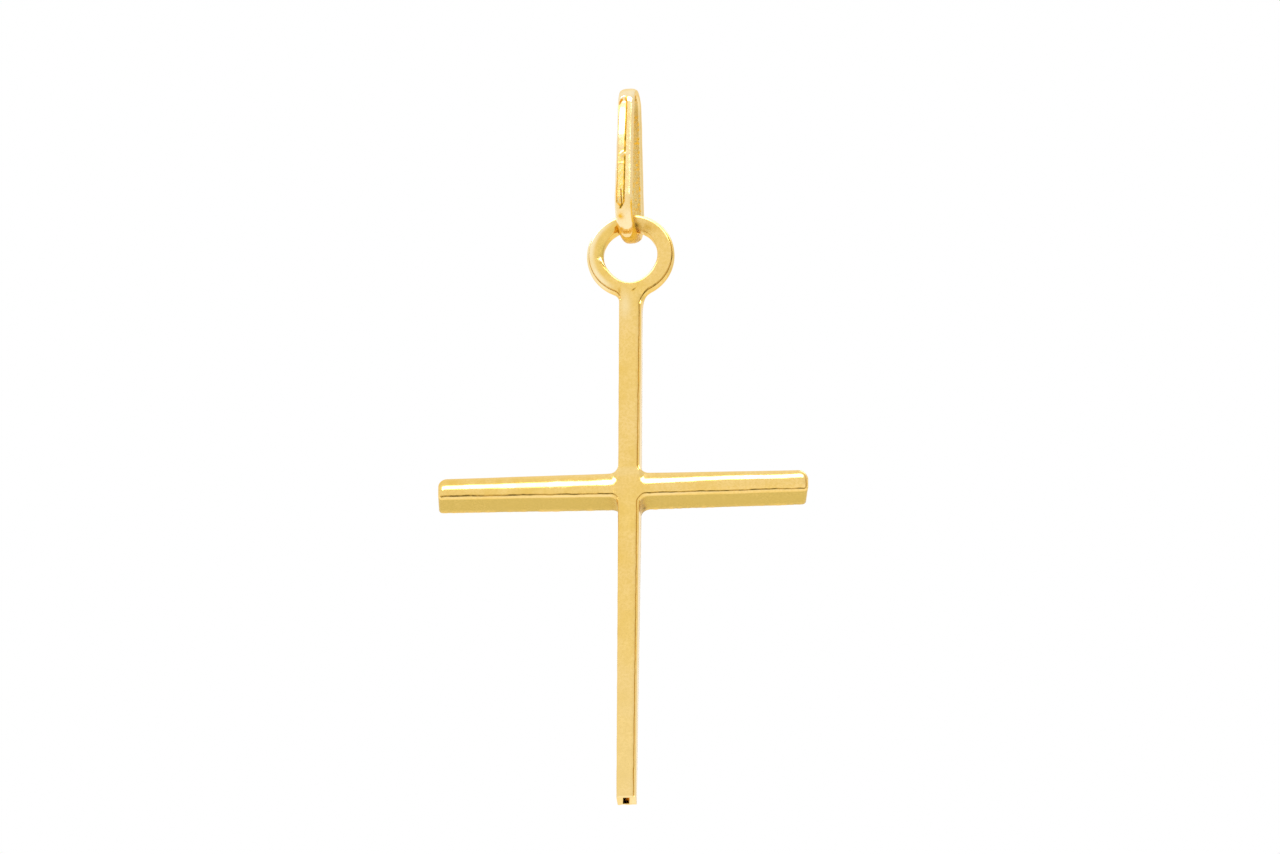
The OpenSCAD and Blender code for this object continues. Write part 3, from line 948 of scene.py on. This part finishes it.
def bail_section(half, climb):
    """Points round the strip's section as (across, height), with their three layers."""
    across = strip_places(half)
    share = np.clip(np.abs(across / half), 0, 1)
    front = at_front(climb)
    drop = 0.08 + 0.16 * smooth(-climb, 1.0, 2.0) * front
    opened, depth, shade_and_mark = channel(across, climb)
    under = tongue(across, half, climb)
    crown = -drop * share ** 3.5
    outer = crown * (1 - opened) - depth * opened - 0.012 * under
    # Painted reflection and shade: amber on the lower bend's right side and on its side walls, where they
    # face the gold nearby, amber under the tongue, and a dark line along the tongue's edge
    lower = smooth(-climb, 0.1, 0.5) * front
    right_side_reflection = 0.55 * smooth(across / half, 0.78, 0.95) * lower
    rim_line = 0.9 * np.clip(1 - np.abs(under - 0.5) / 0.5, 0, 1)
    marks = listed_spots(across, climb, BEND_MARKS)
    shade_and_mark = np.maximum.reduce([shade_and_mark, 0.54 * under, marks, right_side_reflection, rim_line])
    top, low = outer[-1] - 0.02, -STRIP_T
    side_h = np.array([top, (top + low) / 2, low + 0.06, low + 0.025, low + 0.006])
    side_x = np.array([half + 0.003, half + 0.004, half - 0.004, half - 0.025, half - 0.06])
    inner_x = np.linspace(half - 0.11, -half + 0.11, INNER_COUNT)
    xs = np.concatenate([across, side_x, inner_x, -side_x[::-1]])
    hs = np.concatenate([outer, side_h, np.full(INNER_COUNT, low), side_h[::-1]])
    side = np.full(SIDE_COUNT, 0.55 * lower)
    no_side = np.zeros(SIDE_COUNT)
    along = climb + 0 * inner_x
    grain = ripple(inner_x, along, 0.16, 33) + 0.5 * ripple(inner_x, along, 0.7, 34)
    edge_dots = np.clip(ripple(along, 0 * inner_x, 0.2, 36), 0, 1) * (inner_x > 0.2)
    pits = np.clip(0.3 * grain - 0.1 + 0.6 * edge_dots, 0, 0.8) * (climb < -2.9)
    stain_and_shade = np.concatenate([shade_and_mark, side, pits, side])
    # The channel's floor, most of all low down, and the strip's inner face get the rough olive colour, a
    # painted shade
    floor = opened * (0.2 + 0.6 * (1 - smooth(climb, 1.8, 2.2)))
    wall = np.concatenate([floor, no_side, np.ones(INNER_COUNT), no_side])
    # Painted highlights: on the top bend, along the strip's left edge and on the lower bend's front
    shine = 0.9 * smooth(climb, 4.3, 5.0) + 0.9 * smooth(-across / half, 0.75, 0.9)
    painted_highlight = np.zeros(len(xs))
    bend_shine = 0.5 * window(-climb, 0.6, 0.9, 1.5, 1.8)
    painted_highlight[:len(across)] = np.clip(shine + bend_shine, 0, 1) * (climb > -2.9)
    return xs, hs, np.stack([stain_and_shade, wall, painted_highlight])


def make_bail():
    points, normals, climb = bail_stations()
    rows, layers = [], []
    for p, n, u in zip(points, normals, climb):
        top = np.clip((p[1] - BEND_LOW_Z) / (BEND_TOP_Z - BEND_LOW_Z), 0, 1)
        half = (STRIP_LOW_W + (STRIP_TOP_W - STRIP_LOW_W) * top) / 2
        half = half + 0.006 * float(ripple(np.array(p[1]), np.array(p[0]), 1.3, 31))
        x, h, values = bail_section(half, u)
        h = np.minimum(h + 0.0015 * ripple(x, u + 0 * x, 0.8, 32), 0.0)
        rows.append(np.stack([x, p[0] + n[0] * h, p[1] + n[1] * h], 1))
        layers.append(values)
    flat = np.concatenate(rows)
    c, s = math.cos(BAIL_TURN), math.sin(BAIL_TURN)
    turned = np.stack([flat[:, 0] * c - flat[:, 1] * s, flat[:, 0] * s + flat[:, 1] * c, flat[:, 2]], 1)
    faces = band_faces(rows + [rows[0]], 0, True)
    faces = [[i % len(flat) for i in f] for f in faces]
    # Layers: stains with painted shade, painted olive shade on the inner face and channel, and painted
    # highlights
    layers = dict(zip(("stain_and_shade", "wall", "painted_highlight"), np.clip(np.concatenate(layers, axis=1), 0, 1)))
    obj = make_object("gold_bail", turned, faces, layers)
    obj.data.set_sharp_from_angle(angle=SHARP_ANGLE)
    return obj


# Materials: each gold has four clouding colours, a light colour for painted highlights, a darker olive
# colour for painted shade on walls, and two colours for stains and painted shade

CROSS_GOLD = {
    "colours": ((0.95, 0.68, 0.23), (0.88, 0.6, 0.15), (0.96, 0.7, 0.3), (0.82, 0.56, 0.14)),
    "wall_colour": (0.62, 0.45, 0.11), "highlight_colour": (1.0, 0.84, 0.5),
    "stain_shade_colours": ((0.6, 0.38, 0.08), (0.2, 0.13, 0.02)), "roughness": 0.09, "seed": 1.0,
}
BAIL_GOLD = {
    "colours": ((0.98, 0.77, 0.4), (0.95, 0.72, 0.33), (0.97, 0.77, 0.45), (0.9, 0.66, 0.28)),
    "wall_colour": (0.76, 0.6, 0.24), "highlight_colour": (1.0, 0.88, 0.62),
    "stain_shade_colours": ((0.84, 0.48, 0.04), (0.2, 0.14, 0.02)), "roughness": 0.1, "seed": 30.0,
}
# Noise scales, in features per metre
PATCH_SCALE, DRIFT_SCALE, GRAIN_SCALE, SPECKLE_SCALE = 1400, 420, 9000, 14000
STAIN_SHADE_SCALE, WORN_SCALE, SHEEN_SCALE = 5000, 700, 2500
# Turn of each set of scratches, its scale across and along them, and its noise offset
SCRATCHES = ((0.5, 9000, 500, 5.0), (1.9, 8000, 420, 6.0), (-0.9, 10000, 600, 7.0))
BUMP_DISTANCE = 0.0000035


def set_range(node, limits):
    """Sets the four limits of a Map Range node."""
    for key, v in zip(("From Min", "From Max", "To Min", "To Max"), limits):
        node.inputs[key].default_value = v


def gold_material(name, colours, wall_colour, highlight_colour, stain_shade_colours, roughness, seed):
    """Polished gold with cloudy colour, grain and scratches.

    Its layers on the mesh say where it has stains and painted shade, where a rough wall gets a painted
    olive shade and where it gets a painted highlight.
    """
    mat = bpy.data.materials.new(name)
    mat.use_nodes = True
    tree = mat.node_tree
    tree.nodes.clear()

    def node(kind, **settings):
        made = tree.nodes.new(kind)
        for key, value in settings.items():
            setattr(made, key, value)
        return made

    def link(a, b):
        tree.links.new(a, b)

    def noise(scale, detail, vector, offset=0.0):
        made = node("ShaderNodeTexNoise", noise_dimensions="4D")
        made.inputs["Scale"].default_value = scale
        made.inputs["Detail"].default_value = detail
        made.inputs["W"].default_value = seed + offset
        link(vector, made.inputs["Vector"])
        return made.outputs["Fac"]

    def remap(value, low, high, to_low, to_high):
        made = node("ShaderNodeMapRange")
        set_range(made, (low, high, to_low, to_high))
        link(value, made.inputs["Value"])
        return made.outputs["Result"]

    def calc(operation, a, b):
        made = node("ShaderNodeMath", operation=operation)
        for socket, v in zip(made.inputs, (a, b)):
            if isinstance(v, (int, float)):
                socket.default_value = v
            else:
                link(v, socket)
        return made.outputs[0]

    def times(a, b):
        return calc("MULTIPLY", a, b)

    def plus(a, b):
        return calc("ADD", a, b)

    def layer(name):
        """The values that the mesh holds under this name."""
        return node("ShaderNodeAttribute", attribute_name=name).outputs["Fac"]

    def mix(factor, a, b):
        made = node("ShaderNodeMix", data_type="RGBA")
        link(factor, made.inputs[0])
        for socket, v in ((made.inputs[6], a), (made.inputs[7], b)):
            if isinstance(v, tuple):
                socket.default_value = (*v, 1)
            else:
                link(v, socket)
        return made.outputs[2]

    place = node("ShaderNodeTexCoord").outputs["Object"]

    def scratches(turn, across, along, offset):
        """Thin lines from a long drawn noise: 1 on a line and 0 beside it."""
        mapping = node("ShaderNodeMapping")
        mapping.inputs["Rotation"].default_value = (0, turn, 0)
        mapping.inputs["Scale"].default_value = (across, along, along)
        link(place, mapping.inputs["Vector"])
        value = noise(1.0, 1.5, mapping.outputs["Vector"], offset)
        off_line = calc("ABSOLUTE", calc("SUBTRACT", value, 0.5), 0)
        return remap(off_line, 0.0, 0.012, 1.0, 0.0)

    patches = noise(PATCH_SCALE, 2.0, place, 1.0)
    drift = noise(DRIFT_SCALE, 2.0, place, 2.0)
    grain = noise(GRAIN_SCALE, 2.0, place, 3.0)
    colour = mix(remap(patches, 0.35, 0.65, 0.0, 1.0), colours[0], colours[1])
    colour = mix(remap(drift, 0.4, 0.7, 0.0, 0.8), colour, colours[2])
    colour = mix(remap(grain, 0.4, 0.62, 0.0, 0.5), colour, colours[3])
    # Painted shade: a darker olive colour where the mesh marks rough walls, speckled, with more roughness
    # and bump
    wall = layer("wall")
    speckle = noise(SPECKLE_SCALE, 3.0, place, 10.0)
    rough_wall = times(wall, remap(speckle, 0.35, 0.65, 0.65, 1.15))
    colour = mix(rough_wall, colour, wall_colour)
    # Painted highlight: a light colour where the mesh marks it
    painted_highlight = layer("painted_highlight")
    colour = mix(times(painted_highlight, remap(patches, 0.3, 0.6, 0.6, 1.0)), colour, highlight_colour)
    # Stains and painted shade where the mesh marks them, amber and then dark brown
    stain_and_shade = layer("stain_and_shade")
    shade_dirt_level = times(stain_and_shade, remap(noise(STAIN_SHADE_SCALE, 3.0, place, 4.0), 0.3, 0.6, 0.6, 1.25))
    colour = mix(remap(shade_dirt_level, 0.0, 0.42, 0.0, 1.0), colour, stain_shade_colours[0])
    colour = mix(remap(shade_dirt_level, 0.55, 1.0, 0.0, 1.0), colour, stain_shade_colours[1])

    first, second, third = (scratches(*values) for values in SCRATCHES)
    lines = calc("MAXIMUM", calc("MAXIMUM", first, second), third)
    patchy = remap(noise(WORN_SCALE, 1.0, place, 8.0), 0.48, 0.62, 0.0, 1.0)
    lines = times(lines, patchy)

    shader = node("ShaderNodeBsdfPrincipled")
    dull = calc("MAXIMUM", remap(shade_dirt_level, 0.0, 0.6, 0.0, 0.9), times(wall, 0.25))
    link(calc("SUBTRACT", 1.0, dull), shader.inputs["Metallic"])
    link(colour, shader.inputs["Base Color"])
    rough = remap(noise(SHEEN_SCALE, 3.0, place, 9.0), 0.3, 0.7, roughness * 0.7, roughness * 1.5)
    for value, share in ((lines, 0.08), (shade_dirt_level, 0.25), (wall, 0.12)):
        rough = plus(rough, times(value, share))
    link(rough, shader.inputs["Roughness"])
    shader.inputs["Specular Tint"].default_value = (1.0, 0.85, 0.55, 1)
    shader.inputs["Specular IOR Level"].default_value = 0.1

    height = times(grain, 0.35)
    height = plus(height, times(times(speckle, wall), 1.6))
    height = plus(height, times(patches, 0.9))
    height = calc("SUBTRACT", height, times(lines, 0.05))
    bump = node("ShaderNodeBump")
    bump.inputs["Distance"].default_value = BUMP_DISTANCE
    link(height, bump.inputs["Height"])
    link(bump.outputs["Normal"], shader.inputs["Normal"])
    link(shader.outputs["BSDF"], node("ShaderNodeOutputMaterial").inputs["Surface"])
    return mat


def plain_material(name, colour, roughness):
    mat = bpy.data.materials.new(name)
    mat.use_nodes = True
    shader = mat.node_tree.nodes["Principled BSDF"]
    shader.inputs["Base Color"].default_value = (*colour, 1)
    shader.inputs["Roughness"].default_value = roughness
    return mat


# The camera, the floor and the light, in metres

CAMERA_DISTANCE = 1.0
CAMERA_CLIP = (0.01, 60)
FLOOR_Z = -1.6
FLOOR_SIZE = 40.0
FLOOR_COLOUR, FLOOR_ROUGHNESS = (0.92, 0.91, 0.89), 0.9
LIGHT_AIM = (0, 0, -0.015)
TOP_SOFTBOX = {
    "azimuth": -8, "elevation": 49.5, "distance": 0.7, "width": 0.75, "height": 0.26, "radiance": 5.0,
}
# The room's colour, how it dims from its left to its right, and its extra light on dull things
ROOM_COLOUR = (1.0, 0.985, 0.96, 1)
ROOM_SIDES = (0.1, 1.0, 0.97, 0.82)
FLOOR_BOOST = 0.2


def direction(azimuth, elevation):
    """From the object towards a place at that azimuth and elevation."""
    a, e = math.radians(azimuth), math.radians(elevation)
    return Vector((math.sin(a) * math.cos(e), -math.cos(a) * math.cos(e), math.sin(e)))


def make_camera():
    back = direction(VIEW_AZIMUTH, VIEW_ELEVATION)
    turn = (-back).to_track_quat("-Z", "Y").to_matrix() @ Matrix.Rotation(math.radians(VIEW_ROLL), 3, "Z")
    right, up = turn @ Vector((1, 0, 0)), turn @ Vector((0, 1, 0))
    eye = Vector(to_row_frame(np.zeros((1, 3)))[0])
    across = (IMAGE_W / 2 - EYE_PIXEL[0]) * MM_PER_PIXEL
    down = (IMAGE_H / 2 - EYE_PIXEL[1]) * MM_PER_PIXEL
    target = (eye + right * across - up * down) * MM
    data = bpy.data.cameras.new("camera")
    data.type = "ORTHO"
    data.ortho_scale = IMAGE_W * MM_PER_PIXEL * MM
    data.clip_start, data.clip_end = CAMERA_CLIP
    camera = add_object("camera", data)
    camera.matrix_world = Matrix.Translation(target + back * CAMERA_DISTANCE) @ turn.to_4x4()
    bpy.context.scene.camera = camera


def make_floor():
    mesh = bpy.data.meshes.new("floor")
    h = FLOOR_SIZE / 2
    corners = [(x, y, FLOOR_Z) for x, y in ((-h, -h), (h, -h), (h, h), (-h, h))]
    mesh.from_pydata(corners, [], [(0, 1, 2, 3)])
    floor = add_object("floor", mesh)
    mesh.materials.append(plain_material("pale_floor", FLOOR_COLOUR, FLOOR_ROUGHNESS))


def soft_box(name, azimuth, elevation, distance, width, height, radiance):
    """An area light that faces the object and isn't itself seen by the camera."""
    data = bpy.data.lights.new(name, "AREA")
    data.shape, data.size, data.size_y = "RECTANGLE", width, height
    data.energy = radiance * math.pi * width * height
    light = add_object(name, data)
    away = direction(azimuth, elevation)
    place = Vector(LIGHT_AIM) + away * distance
    light.matrix_world = Matrix.Translation(place) @ away.to_track_quat("Z", "Y").to_matrix().to_4x4()
    light.visible_camera = False


def make_world():
    """A white room, a little dimmer on the right, that lights dull things more strongly."""
    world = bpy.data.worlds.new("white_room")
    bpy.context.scene.world = world
    world.use_nodes = True
    tree = world.node_tree
    tree.nodes.clear()
    new, link = tree.nodes.new, tree.links.new
    seen, room = new("ShaderNodeBackground"), new("ShaderNodeBackground")
    seen.inputs["Color"].default_value = (1, 1, 1, 1)
    split = new("ShaderNodeSeparateXYZ")
    link(new("ShaderNodeTexCoord").outputs["Generated"], split.inputs[0])
    side = new("ShaderNodeMapRange")
    set_range(side, ROOM_SIDES)
    link(split.outputs["X"], side.inputs["Value"])
    pick, path = new("ShaderNodeMixShader"), new("ShaderNodeLightPath")
    boost, strength = new("ShaderNodeMath"), new("ShaderNodeMath")
    boost.operation, strength.operation = "MULTIPLY_ADD", "MULTIPLY"
    link(path.outputs["Is Diffuse Ray"], boost.inputs[0])
    boost.inputs[1].default_value, boost.inputs[2].default_value = FLOOR_BOOST, 1.0
    link(side.outputs["Result"], strength.inputs[0])
    link(boost.outputs[0], strength.inputs[1])
    link(strength.outputs[0], room.inputs["Strength"])
    room.inputs["Color"].default_value = ROOM_COLOUR
    link(path.outputs["Is Camera Ray"], pick.inputs[0])
    link(room.outputs[0], pick.inputs[1])
    link(seen.outputs[0], pick.inputs[2])
    link(pick.outputs[0], new("ShaderNodeOutputWorld").inputs["Surface"])


make_camera()
make_floor()
make_world()
soft_box("top_softbox", **TOP_SOFTBOX)
bpy.context.scene.view_settings.view_transform = "Standard"
bpy.context.scene.view_settings.look = "None"

cross_gold = gold_material("cross_gold", **CROSS_GOLD)
bail_gold = gold_material("bail_gold", **BAIL_GOLD)

cross = make_cross()
cross.data.materials.clear()
cross.data.materials.append(cross_gold)
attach(cross, "cross")
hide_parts("cross")

bail = make_bail()
bail.data.materials.append(bail_gold)
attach(bail, "bail")
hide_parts("bail")
